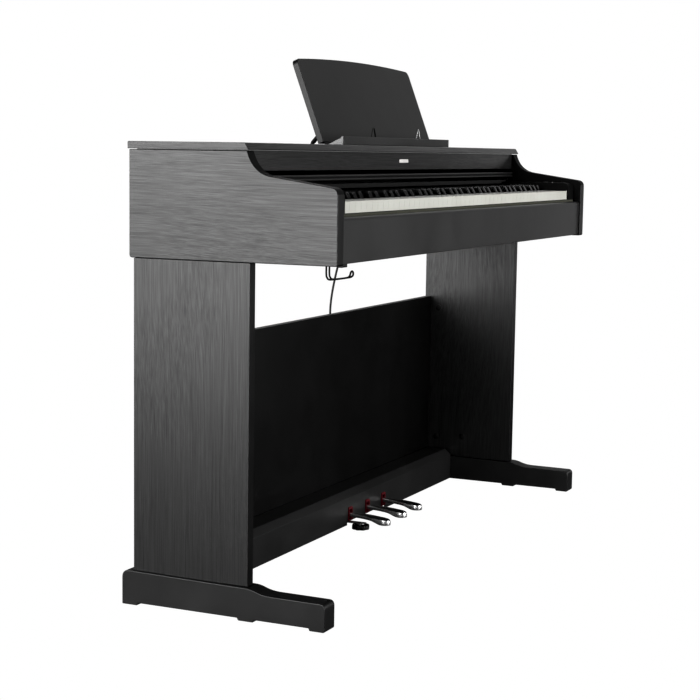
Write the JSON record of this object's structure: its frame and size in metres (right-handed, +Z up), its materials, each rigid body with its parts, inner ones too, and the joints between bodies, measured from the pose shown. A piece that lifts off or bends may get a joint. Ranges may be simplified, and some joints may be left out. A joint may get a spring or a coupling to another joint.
{
  "type": "digital piano on stand",
  "caption": "Digital piano with weighted keyboard, sliding key cover and folding music rest on a panel stand with a backboard, pedal box and floor adjuster.",
  "frame": {"origin": "on the floor, at the bottom centre of the piano's box", "axes": "+X along the keyboard to the player's right, -Y towards the player, +Z up"},
  "size_m": [1.374, 0.4084, 0.9845],
  "materials": {
    "black_ash": "satin black-ash foil with a fine open grain",
    "black_satin": "smooth satin black foil",
    "bare_board": "matte black hardboard",
    "black_plastic": "fine moulded texture",
    "white_key": "satin ivory white",
    "black_key": "matte ebony black",
    "pedal_chrome": "polished",
    "steel": "zinc plated",
    "black_wire": "satin black coat",
    "circuit": "solder mask",
    "cord": "matte black"
  },
  "bodies": {
    "case": {"side_panel_left": "black_ash", "side_panel_right": "black_ash", "top_board": "black_ash", "front_panel": "black_ash", "stand_panel_left": "black_ash", "stand_panel_right": "black_ash", "foot_left": "black_ash", "foot_right": "black_ash", "backboard": "black_ash", "key_slip": "black_satin", "rest_ledge": "black_satin", "pedal_box": "black_satin", "rear_panel": "bare_board", "keybed": "bare_board", "key_block_left": "black_plastic", "key_block_right": "black_plastic", "key_frame": "black_plastic", "jack_housing": "black_plastic", "power_inlet": "black_plastic", "speaker_left": "black_plastic", "speaker_right": "black_plastic", "pedal_chassis": "steel", "headphone_hook": "black_wire", "circuit_board": "circuit", "pedal_cord": "cord", "cord_plug": "cord"},
    "white_keys_1a": {"white_keys_1a": "white_key"},
    "white_keys_1b": {"white_keys_1b": "white_key"},
    "black_keys_1": {"black_keys_1": "black_key"},
    "white_keys_2a": {"white_keys_2a": "white_key"},
    "white_keys_2b": {"white_keys_2b": "white_key"},
    "black_keys_2": {"black_keys_2": "black_key"},
    "white_keys_3a": {"white_keys_3a": "white_key"},
    "white_keys_3b": {"white_keys_3b": "white_key"},
    "black_keys_3": {"black_keys_3": "black_key"},
    "white_keys_4a": {"white_keys_4a": "white_key"},
    "white_keys_4b": {"white_keys_4b": "white_key"},
    "black_keys_4": {"black_keys_4": "black_key"},
    "white_keys_5a": {"white_keys_5a": "white_key"},
    "white_keys_5b": {"white_keys_5b": "white_key"},
    "black_keys_5": {"black_keys_5": "black_key"},
    "white_keys_6a": {"white_keys_6a": "white_key"},
    "white_keys_6b": {"white_keys_6b": "white_key"},
    "black_keys_6": {"black_keys_6": "black_key"},
    "white_keys_7a": {"white_keys_7a": "white_key"},
    "white_keys_7b": {"white_keys_7b": "white_key"},
    "black_keys_7": {"black_keys_7": "black_key"},
    "key_cover": {"key_cover": "black_satin"},
    "music_rest": {"music_rest": "black_satin"},
    "rest_prop_left": {"rest_prop_left": "black_wire"},
    "rest_prop_right": {"rest_prop_right": "black_wire"},
    "rest_clip_left": {"rest_clip_left": "black_wire"},
    "rest_clip_right": {"rest_clip_right": "black_wire"},
    "pedal_left": {"pedal_left": "pedal_chrome"},
    "pedal_middle": {"pedal_middle": "pedal_chrome"},
    "pedal_right": {"pedal_right": "pedal_chrome"},
    "adjuster_knob": {"adjuster_knob": "black_plastic"},
    "volume_slider": {"volume_slider": "black_plastic"},
    "voice_button": {"voice_button": "black_plastic"},
    "power_button": {"power_button": "black_plastic"}
  },
  "joints": [
    {"name": "white_keys_1a_press", "type": "hinge", "parent": "case", "child": "white_keys_1a", "pos_m": [0, 0.04575, 0.7], "axis": [1, 0, 0], "range_deg": [0, 2.5], "stiffness_Nm_per_rad": 2, "springref_deg": -22.92},
    {"name": "white_keys_1b_press", "type": "hinge", "parent": "case", "child": "white_keys_1b", "pos_m": [0, 0.03375, 0.7], "axis": [1, 0, 0], "range_deg": [0, 2.65], "stiffness_Nm_per_rad": 2, "springref_deg": -22.92},
    {"name": "black_keys_1_press", "type": "hinge", "parent": "case", "child": "black_keys_1", "pos_m": [0, 0.02175, 0.7], "axis": [1, 0, 0], "range_deg": [0, 3.5], "stiffness_Nm_per_rad": 2, "springref_deg": -22.92},
    {"name": "white_keys_2a_press", "type": "hinge", "parent": "case", "child": "white_keys_2a", "pos_m": [0, 0.04575, 0.7], "axis": [1, 0, 0], "range_deg": [0, 2.5], "stiffness_Nm_per_rad": 2, "springref_deg": -22.92},
    {"name": "white_keys_2b_press", "type": "hinge", "parent": "case", "child": "white_keys_2b", "pos_m": [0, 0.03375, 0.7], "axis": [1, 0, 0], "range_deg": [0, 2.65], "stiffness_Nm_per_rad": 2, "springref_deg": -22.92},
    {"name": "black_keys_2_press", "type": "hinge", "parent": "case", "child": "black_keys_2", "pos_m": [0, 0.02175, 0.7], "axis": [1, 0, 0], "range_deg": [0, 3.5], "stiffness_Nm_per_rad": 2, "springref_deg": -22.92},
    {"name": "white_keys_3a_press", "type": "hinge", "parent": "case", "child": "white_keys_3a", "pos_m": [0, 0.04575, 0.7], "axis": [1, 0, 0], "range_deg": [0, 2.5], "stiffness_Nm_per_rad": 2, "springref_deg": -22.92},
    {"name": "white_keys_3b_press", "type": "hinge", "parent": "case", "child": "white_keys_3b", "pos_m": [0, 0.03375, 0.7], "axis": [1, 0, 0], "range_deg": [0, 2.65], "stiffness_Nm_per_rad": 2, "springref_deg": -22.92},
    {"name": "black_keys_3_press", "type": "hinge", "parent": "case", "child": "black_keys_3", "pos_m": [0, 0.02175, 0.7], "axis": [1, 0, 0], "range_deg": [0, 3.5], "stiffness_Nm_per_rad": 2, "springref_deg": -22.92},
    {"name": "white_keys_4a_press", "type": "hinge", "parent": "case", "child": "white_keys_4a", "pos_m": [0, 0.04575, 0.7], "axis": [1, 0, 0], "range_deg": [0, 2.5], "stiffness_Nm_per_rad": 2, "springref_deg": -22.92},
    {"name": "white_keys_4b_press", "type": "hinge", "parent": "case", "child": "white_keys_4b", "pos_m": [0, 0.03375, 0.7], "axis": [1, 0, 0], "range_deg": [0, 2.65], "stiffness_Nm_per_rad": 2, "springref_deg": -22.92},
    {"name": "black_keys_4_press", "type": "hinge", "parent": "case", "child": "black_keys_4", "pos_m": [0, 0.02175, 0.7], "axis": [1, 0, 0], "range_deg": [0, 3.5], "stiffness_Nm_per_rad": 2, "springref_deg": -22.92},
    {"name": "white_keys_5a_press", "type": "hinge", "parent": "case", "child": "white_keys_5a", "pos_m": [0, 0.04575, 0.7], "axis": [1, 0, 0], "range_deg": [0, 2.5], "stiffness_Nm_per_rad": 2, "springref_deg": -22.92},
    {"name": "white_keys_5b_press", "type": "hinge", "parent": "case", "child": "white_keys_5b", "pos_m": [0, 0.03375, 0.7], "axis": [1, 0, 0], "range_deg": [0, 2.65], "stiffness_Nm_per_rad": 2, "springref_deg": -22.92},
    {"name": "black_keys_5_press", "type": "hinge", "parent": "case", "child": "black_keys_5", "pos_m": [0, 0.02175, 0.7], "axis": [1, 0, 0], "range_deg": [0, 3.5], "stiffness_Nm_per_rad": 2, "springref_deg": -22.92},
    {"name": "white_keys_6a_press", "type": "hinge", "parent": "case", "child": "white_keys_6a", "pos_m": [0, 0.04575, 0.7], "axis": [1, 0, 0], "range_deg": [0, 2.5], "stiffness_Nm_per_rad": 2, "springref_deg": -22.92},
    {"name": "white_keys_6b_press", "type": "hinge", "parent": "case", "child": "white_keys_6b", "pos_m": [0, 0.03375, 0.7], "axis": [1, 0, 0], "range_deg": [0, 2.65], "stiffness_Nm_per_rad": 2, "springref_deg": -22.92},
    {"name": "black_keys_6_press", "type": "hinge", "parent": "case", "child": "black_keys_6", "pos_m": [0, 0.02175, 0.7], "axis": [1, 0, 0], "range_deg": [0, 3.5], "stiffness_Nm_per_rad": 2, "springref_deg": -22.92},
    {"name": "white_keys_7a_press", "type": "hinge", "parent": "case", "child": "white_keys_7a", "pos_m": [0, 0.04575, 0.7], "axis": [1, 0, 0], "range_deg": [0, 2.5], "stiffness_Nm_per_rad": 2, "springref_deg": -22.92},
    {"name": "white_keys_7b_press", "type": "hinge", "parent": "case", "child": "white_keys_7b", "pos_m": [0, 0.03375, 0.7], "axis": [1, 0, 0], "range_deg": [0, 2.65], "stiffness_Nm_per_rad": 2, "springref_deg": -22.92},
    {"name": "black_keys_7_press", "type": "hinge", "parent": "case", "child": "black_keys_7", "pos_m": [0, 0.02175, 0.7], "axis": [1, 0, 0], "range_deg": [0, 3.5], "stiffness_Nm_per_rad": 2, "springref_deg": -22.92},
    {"name": "key_cover_slide", "type": "slide", "parent": "case", "child": "key_cover", "axis": [0, -0.9976, -0.0698], "range_m": [0, 0.15]},
    {"name": "music_rest_fold", "type": "hinge", "parent": "case", "child": "music_rest", "pos_m": [0, 0.02985, 0.821], "axis": [1, 0, 0], "range_deg": [-69.3, 0]},
    {"name": "rest_prop_left_fold", "type": "hinge", "parent": "music_rest", "child": "rest_prop_left", "pos_m": [-0.24, 0.03903, 0.84105], "axis": [1, 0, 0], "range_deg": [0, 119.6]},
    {"name": "rest_prop_right_fold", "type": "hinge", "parent": "music_rest", "child": "rest_prop_right", "pos_m": [0.24, 0.03903, 0.84105], "axis": [1, 0, 0], "range_deg": [0, 119.6]},
    {"name": "rest_clip_left_fold", "type": "hinge", "parent": "case", "child": "rest_clip_left", "pos_m": [-0.114, -0.01285, 0.8286], "axis": [1, 0, 0], "range_deg": [-100, 0]},
    {"name": "rest_clip_right_fold", "type": "hinge", "parent": "case", "child": "rest_clip_right", "pos_m": [0.114, -0.01285, 0.8286], "axis": [1, 0, 0], "range_deg": [-100, 0]},
    {"name": "pedal_left_press", "type": "hinge", "parent": "case", "child": "pedal_left", "pos_m": [0.061, 0.15275, 0.03], "axis": [1, 0, 0], "range_deg": [0, 4], "stiffness_Nm_per_rad": 15, "springref_deg": -8.02},
    {"name": "pedal_middle_press", "type": "hinge", "parent": "case", "child": "pedal_middle", "pos_m": [0.15, 0.15275, 0.03], "axis": [1, 0, 0], "range_deg": [0, 4], "stiffness_Nm_per_rad": 15, "springref_deg": -8.02},
    {"name": "pedal_right_press", "type": "hinge", "parent": "case", "child": "pedal_right", "pos_m": [0.236, 0.15275, 0.03], "axis": [1, 0, 0], "range_deg": [0, 4], "stiffness_Nm_per_rad": 15, "springref_deg": -8.02},
    {"name": "adjuster_turn", "type": "hinge", "parent": "case", "child": "adjuster_knob", "pos_m": [0.052, 0.07675, 0.01], "axis": [0, 0, 1], "continuous": true},
    {"name": "volume_slide", "type": "slide", "parent": "case", "child": "volume_slider", "axis": [0, 1, 0], "range_m": [-0.015, 0.015]},
    {"name": "voice_button_press", "type": "slide", "parent": "case", "child": "voice_button", "axis": [0, 0, -1], "range_m": [0, 0.0015], "stiffness_N_per_m": 600, "springref_m": -0.003},
    {"name": "power_button_press", "type": "slide", "parent": "case", "child": "power_button", "axis": [0, 0, -1], "range_m": [0, 0.0015], "stiffness_N_per_m": 600, "springref_m": -0.003}
  ],
  "couplings": [
    {"joint": "rest_prop_left_fold", "follows": "music_rest_fold", "ratio": -1.7237},
    {"joint": "rest_prop_right_fold", "follows": "music_rest_fold", "ratio": -1.7237}
  ]
}
